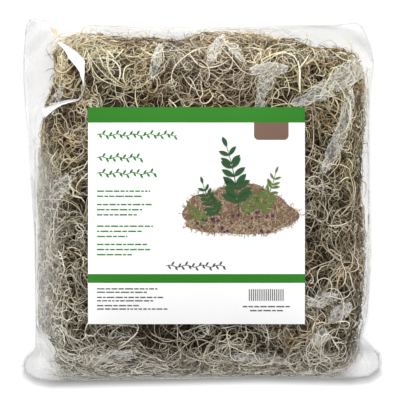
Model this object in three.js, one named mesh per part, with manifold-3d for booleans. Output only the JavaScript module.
// A bunch of dried Spanish moss in a clear film bag with a square paper label, lying on its back.
// Millimetres, +Z up. The bag's top edge points along +Y, its front faces +Z and its back lies on z = 0.
// The origin is the middle of the bag's footprint, on the surface that it lies on.
import * as THREE from "three";
import { mergeVertices } from "three/addons/utils/BufferGeometryUtils.js";
import Module from "manifold-3d";

const wasm = await Module();
wasm.setup();

// ---- Driving dimensions ----

const DEPTH = 80; // the filled bag, from its back to the crown of its front
const FILL = { halfWidth: 116.5, halfLength: 121, x: 1, y: -2.5 }; // the filled part, seen from the front
const CORNER_POWER = 7; // how square the filled part's corners are, seen from the front
const EDGE_POWER = 3.3; // how square its edges are, seen from the side
const SEAM_HEIGHT = 24; // where the front and back films meet, at the edge of the filled part
const BACK_BULGE = 1.25; // how far the back would bulge below the seam, if nothing held it flat
const SWELL = { plan: 0.006, depth: 0.045 }; // the fill's unevenness, as shares of its size
const SWELL_START = 10; // it begins this far outside the label, which keeps the front flat
const SWELL_RAMP = 25; // and is full this much further out
const FILM = 0.8; // wall of the film, thicker than the real 0.06 so that it meshes and collides
const FLAP = 1.0; // the two films where they lie on each other, outside the filled part
const FLAP_DROOP = 60; // how steeply the empty corners sag
const VENT_RADIUS = 3; // air holes punched in the back film
const VENTS = [[-62, 92], [64, 92]];
const SEAT_GAP = 0.5; // between pieces that touch
const GRID = { across: 12, high: 6 }; // facets of the film along its width and length, and up its sides

const LABEL_SIDE = 152.4;
const LABEL_THICKNESS = 0.4;
const LABEL_CENTRE = { x: -3.6, y: -11.2 };

const HEART_INSET = 8; // the dense heart of the bunch lies this far inside the bag's outer face
const HEART_FLOOR = 4.5;
const HEART_DENT = 0.022; // depth of its dents, as a share of its size
const STRAND_RADIUS = 1.55;
const STRAND_SIDES = 3;
const STRAND_STEP = 8.5; // length of a strand's straight piece
const ROOT_DEPTH = 6; // how far a strand's ends sink into the heart
const LIFT = { least: 1.6, most: 4.9 }; // how high strands ride above the heart
const STRANDS = { front: 70, sides: 40, back: 12 };
const TRIES = 14; // places tried for each strand, to find one clear of the others
const SEED = 20261;

// The bag's edge, seen from the front. Loose corners stand out past the fill, and the sides draw in between.
const EDGE_POINTS = [
  [-121.6, 128.7], [-97.7, 124], [-43.3, 121.3], [30, 121.4], [94.4, 123.1], [109.1, 125.9],
  [119.4, 109], [121.8, 96.4], [118.2, 66.5], [118.2, 16.7], [119.6, -40.2], [116.9, -82.1],
  [112.6, -95.8], [126, -111.1], [126.7, -118], [113.8, -126.3], [41, -124.4], [-57.3, -126.6],
  [-105.9, -128.6], [-125.4, -120.7], [-126.7, -116.1], [-114.6, -104.1], [-116.7, -71.1],
  [-117.6, -28.3], [-122.5, 43.4], [-126.7, 84.1], [-126.7, 102.6],
];

// ---- Solids ----

// A closed three.js geometry as a solid that can be joined and cut.
function solidOf(geometry) {
  const bare = geometry.clone();
  bare.deleteAttribute("normal");
  bare.deleteAttribute("uv");
  const merged = mergeVertices(bare, 1e-4);
  const mesh = new wasm.Mesh({
    numProp: 3,
    vertProperties: new Float32Array(merged.attributes.position.array),
    triVerts: new Uint32Array(merged.index.array),
  });
  return new wasm.Manifold(mesh);
}

// A solid as a three.js geometry, without the loose scraps that a cut can leave.
function geometryOf(solid) {
  const bodies = solid.decompose().sort((a, b) => b.volume() - a.volume());
  const { vertProperties, triVerts } = bodies[0].getMesh();
  const geometry = new THREE.BufferGeometry();
  geometry.setAttribute("position", new THREE.BufferAttribute(vertProperties, 3));
  geometry.setIndex(new THREE.BufferAttribute(triVerts, 1));
  geometry.computeVertexNormals();
  return geometry;
}

// ---- The pillow that the bag, the bunch and its heart all follow ----

// Brings evenly spaced numbers from -1 to 1 closer together at the ends, where the pillow turns most.
function crowd(t) {
  return Math.sin(t * 1.2) / Math.sin(1.2);
}

// How far out a place on the plan is, as a share of half the width and length: 1 on a rounded square's edge.
function outness(x, y) {
  return (Math.abs(x) ** CORNER_POWER + Math.abs(y) ** CORNER_POWER) ** (1 / CORNER_POWER);
}

// Moves a point with the uneven swelling of the fill, which is the same for all that lies in the bag.
function swell(point) {
  const fromLabel = Math.max(Math.abs(point.x - LABEL_CENTRE.x), Math.abs(point.y - LABEL_CENTRE.y));
  const beyond = fromLabel - LABEL_SIDE / 2 - SWELL_START;
  const share = THREE.MathUtils.smoothstep(beyond, 0, SWELL_RAMP);
  const broad = Math.sin(point.x * 0.052 + 1.1) * Math.cos(point.y * 0.047 - 0.7);
  const wave = broad + 0.6 * Math.sin(point.y * 0.09 + 2);
  const plan = 1 + SWELL.plan * Math.sin(point.x * 0.041 + point.y * 0.057 + point.z * 0.03);
  point.x = FILL.x + (point.x - FILL.x) * plan;
  point.y = FILL.y + (point.y - FILL.y) * plan;
  if (point.z > SEAM_HEIGHT) {
    point.z = SEAM_HEIGHT + (point.z - SEAM_HEIGHT) * (1 + SWELL.depth * wave * share);
  }
}

// inset is how far the pillow lies inside the bag's outer face, and floor is the height of its flat back.
class Pillow {
  constructor(inset, floor) {
    this.centre = new THREE.Vector3(FILL.x, FILL.y, SEAM_HEIGHT);
    this.half = new THREE.Vector2(FILL.halfWidth - inset, FILL.halfLength - inset);
    this.front = DEPTH - SEAM_HEIGHT - inset;
    this.back = SEAM_HEIGHT * BACK_BULGE - inset;
    this.floor = floor;
  }

  // Where the ray from the centre along this direction leaves the pillow.
  along(direction) {
    const height = direction.z > 0 ? this.front : this.back;
    const plan = outness(direction.x / this.half.x, direction.y / this.half.y);
    const reach = (plan ** EDGE_POWER + Math.abs(direction.z / height) ** EDGE_POWER) ** (-1 / EDGE_POWER);
    const point = direction.clone().multiplyScalar(reach).add(this.centre);
    swell(point);
    point.z = Math.max(point.z, this.floor);
    return point;
  }

  // The face's outward normal at a point of it.
  normalAt(point) {
    if (point.z < this.floor + 1e-6) return new THREE.Vector3(0, 0, -1);
    const from = point.clone().sub(this.centre);
    const height = from.z > 0 ? this.front : this.back;
    const x = Math.abs(from.x / this.half.x);
    const y = Math.abs(from.y / this.half.y);
    const share = Math.max(outness(x, y), 1e-3) ** (EDGE_POWER - CORNER_POWER);
    return new THREE.Vector3(
      (Math.sign(from.x) * share * x ** (CORNER_POWER - 1)) / this.half.x,
      (Math.sign(from.y) * share * y ** (CORNER_POWER - 1)) / this.half.y,
      (Math.sign(from.z) * Math.abs(from.z / height) ** (EDGE_POWER - 1)) / height,
    ).normalize();
  }

  // Height of the front above a place on the plan.
  frontAt(x, y) {
    const plan = outness((x - FILL.x) / this.half.x, (y - FILL.y) / this.half.y);
    return SEAM_HEIGHT + this.front * (1 - plan ** EDGE_POWER) ** (1 / EDGE_POWER);
  }

  // The whole pillow, from a box's grid of points pushed out to it, less the share that dent gives a point.
  solid(across, high, dent) {
    const box = new THREE.BoxGeometry(2, 2, 2, across, across, high);
    const place = box.attributes.position;
    const spread = new THREE.Vector3(this.half.x, this.half.y, this.front * 0.8);
    for (let i = 0; i < place.count; i++) {
      const direction = new THREE.Vector3().fromBufferAttribute(place, i);
      direction.set(crowd(direction.x), crowd(direction.y), crowd(direction.z)).multiply(spread);
      const point = this.along(direction);
      if (dent) point.sub(this.centre).multiplyScalar(1 - dent(point)).add(this.centre);
      place.setXYZ(i, point.x, point.y, point.z);
    }
    return solidOf(box);
  }
}

// ---- Clear bag ----

const edge = new THREE.CatmullRomCurve3(
  EDGE_POINTS.map(([x, y]) => new THREE.Vector3(x, y, 0)), true, "catmullrom", 0.5,
);

// Height of the middle of the loose edge: it sags the further it stands out past the fill.
function flapHeight(x, y) {
  const beyond = outness((x - FILL.x) / FILL.halfWidth, (y - FILL.y) / FILL.halfLength) - 1;
  return SEAM_HEIGHT - FLAP_DROOP * Math.max(0, beyond);
}

// The loose edge all round: a thin ring from well inside the fill out to the bag's edge.
function flapSolid() {
  const around = 96;
  const rings = [0.75, 0.88, 0.95, 1];
  const positions = [];
  const triangles = [];
  for (const side of [FLAP / 2, -FLAP / 2]) {
    for (const ring of rings) {
      for (let i = 0; i < around; i++) {
        const point = edge.getPointAt(i / around).multiplyScalar(ring);
        positions.push(point.x, point.y, flapHeight(point.x, point.y) + side);
      }
    }
  }
  const below = rings.length * around;
  const quad = (a, b, c, d) => triangles.push(a, b, c, a, c, d);
  for (let i = 0; i < around; i++) {
    const next = (i + 1) % around;
    for (let ring = 0; ring + 1 < rings.length; ring++) {
      const inner = ring * around;
      const outer = inner + around;
      quad(inner + i, inner + next, outer + next, outer + i);
      quad(below + inner + i, below + outer + i, below + outer + next, below + inner + next);
    }
    const rim = (rings.length - 1) * around;
    quad(rim + i, rim + next, below + rim + next, below + rim + i);
    quad(i, below + i, below + next, next);
  }
  const geometry = new THREE.BufferGeometry();
  geometry.setAttribute("position", new THREE.Float32BufferAttribute(positions, 3));
  geometry.setIndex(triangles);
  return solidOf(geometry);
}

function ventSolid([x, y]) {
  const punch = new THREE.CylinderGeometry(VENT_RADIUS, VENT_RADIUS, 6, 16);
  punch.rotateX(Math.PI / 2);
  punch.translate(x, y, 0);
  return solidOf(punch);
}

function bagGeometry() {
  let bag = new Pillow(0, 0).solid(GRID.across, GRID.high).add(flapSolid());
  bag = bag.subtract(new Pillow(FILM, FILM).solid(GRID.across, GRID.high));
  for (const vent of VENTS) bag = bag.subtract(ventSolid(vent));
  return geometryOf(bag);
}

// ---- Label ----

// A sheet that lies on the crowned front of the bag.
function labelGeometry() {
  const steps = 12;
  const sheet = new THREE.BoxGeometry(LABEL_SIDE, LABEL_SIDE, LABEL_THICKNESS, steps, steps, 1);
  const front = new Pillow(0, 0);
  const place = sheet.attributes.position;
  for (let i = 0; i < place.count; i++) {
    const x = place.getX(i) + LABEL_CENTRE.x;
    const y = place.getY(i) + LABEL_CENTRE.y;
    const z = front.frontAt(x, y) + SEAT_GAP + LABEL_THICKNESS / 2 + place.getZ(i);
    place.setXYZ(i, x, y, z);
  }
  return geometryOf(solidOf(sheet));
}

// ---- Spanish moss ----

// Seeded random numbers from 0 to 1.
function randomSource(seed) {
  let state = seed;
  return () => {
    state = (state + 0x6d2b79f5) | 0;
    let mixed = Math.imul(state ^ (state >>> 15), 1 | state);
    mixed = (mixed + Math.imul(mixed ^ (mixed >>> 7), 61 | mixed)) ^ mixed;
    return ((mixed ^ (mixed >>> 14)) >>> 0) / 4294967296;
  };
}

// A strand's line: it leaves the heart, wanders over it in curls and sinks back in.
function strandLine(heart, start, random) {
  const pieces = 7 + Math.floor(random() * 6);
  const lift = LIFT.least + random() * (LIFT.most - LIFT.least);
  const bend = (random() < 0.5 ? -1 : 1) * (0.22 + 0.4 * random());
  const turnsBack = 2 + random() * 6;
  let foot = heart.along(start);
  let normal = heart.normalAt(foot);
  const anyWay = new THREE.Vector3(random() - 0.5, random() - 0.5, random() - 0.5);
  const heading = anyWay.cross(normal).normalize();
  const line = [];
  for (let i = 0; i <= pieces; i++) {
    const rise = i === 0 || i === pieces ? -ROOT_DEPTH : lift;
    line.push(foot.clone().addScaledVector(normal, rise));
    heading.applyAxisAngle(normal, i < turnsBack ? bend : -bend * 0.8);
    foot = heart.along(foot.clone().addScaledVector(heading, STRAND_STEP).sub(heart.centre));
    normal = heart.normalAt(foot);
    heading.addScaledVector(normal, -heading.dot(normal)).normalize();
  }
  return line;
}

function strandSolid(line) {
  const section = new THREE.Shape();
  for (let i = 0; i < STRAND_SIDES; i++) {
    const angle = (i / STRAND_SIDES) * 2 * Math.PI;
    const x = STRAND_RADIUS * Math.cos(angle);
    const y = STRAND_RADIUS * Math.sin(angle);
    if (i === 0) section.moveTo(x, y);
    else section.lineTo(x, y);
  }
  const tube = new THREE.ExtrudeGeometry(section, {
    steps: line.length - 1,
    extrudePath: new THREE.CatmullRomCurve3(line),
    bevelEnabled: false,
  });
  return solidOf(tube);
}

// A direction in which a strand starts, on the front, round the sides or on the back.
function startOn(face, heart, random) {
  if (face !== "sides") {
    const x = (random() * 2 - 1) * heart.half.x * 0.94;
    const y = (random() * 2 - 1) * heart.half.y * 0.94;
    return new THREE.Vector3(x, y, face === "front" ? heart.front * 0.95 : -heart.back);
  }
  const turn = random() * 2 * Math.PI;
  const reach = 1 / Math.max(Math.abs(Math.cos(turn)), Math.abs(Math.sin(turn)));
  const x = heart.half.x * reach * Math.cos(turn);
  const y = heart.half.y * reach * Math.sin(turn);
  return new THREE.Vector3(x, y, (random() * 1.3 - 0.4) * heart.front);
}

// Points close together along a strand's line.
function dotsOf(line) {
  const curve = new THREE.CatmullRomCurve3(line);
  return curve.getPoints((line.length - 1) * 4);
}

// How many of a strand's dots run into strands that are there already.
function clashes(dots, placed) {
  const near = (2 * STRAND_RADIUS) ** 2;
  let count = 0;
  for (const dot of dots) {
    for (const other of placed) {
      if (dot.distanceToSquared(other) < near) count++;
    }
  }
  return count;
}

// Strands that pass over and under one another: each is the try that runs into the fewest others.
function tangle(heart, random) {
  const lines = [];
  const placed = [];
  for (const [face, count] of Object.entries(STRANDS)) {
    for (let i = 0; i < count; i++) {
      let best = null;
      for (let k = 0; k < TRIES && (!best || best.clashes > 0); k++) {
        const line = strandLine(heart, startOn(face, heart, random), random);
        const dots = dotsOf(line);
        const found = clashes(dots, placed);
        if (!best || found < best.clashes) best = { line, dots, clashes: found };
      }
      lines.push(best.line);
      placed.push(...best.dots);
    }
  }
  return lines;
}

function mossGeometry() {
  const random = randomSource(SEED);
  const heart = new Pillow(HEART_INSET, HEART_FLOOR);
  const film = new Pillow(FILM + SEAT_GAP, FILM + SEAT_GAP);
  const dimple = (at) => Math.sin(at.x * 0.13 + at.y * 0.05) * Math.cos(at.y * 0.11 - 0.6);
  const core = heart.solid(10, 4, (at) => HEART_DENT * (1 + dimple(at)));
  const moss = wasm.Manifold.union([core, ...tangle(heart, random).map(strandSolid)]);
  return geometryOf(moss.intersect(film.solid(GRID.across, GRID.high)));
}

// ---- The whole part ----

function piece(name, geometry, look) {
  const mesh = new THREE.Mesh(geometry, new THREE.MeshStandardMaterial(look));
  mesh.name = name;
  return mesh;
}

const bagOfMoss = new THREE.Group();
bagOfMoss.add(piece("spanish_moss", mossGeometry(), { color: 0x8f8468, roughness: 0.9, metalness: 0 }));
bagOfMoss.add(piece("clear_bag", bagGeometry(), {
  color: 0xf2f4f5, roughness: 0.15, metalness: 0, transparent: true, opacity: 0.2,
}));
bagOfMoss.add(piece("label", labelGeometry(), { color: 0xfbfbfa, roughness: 0.55, metalness: 0 }));

export default bagOfMoss;
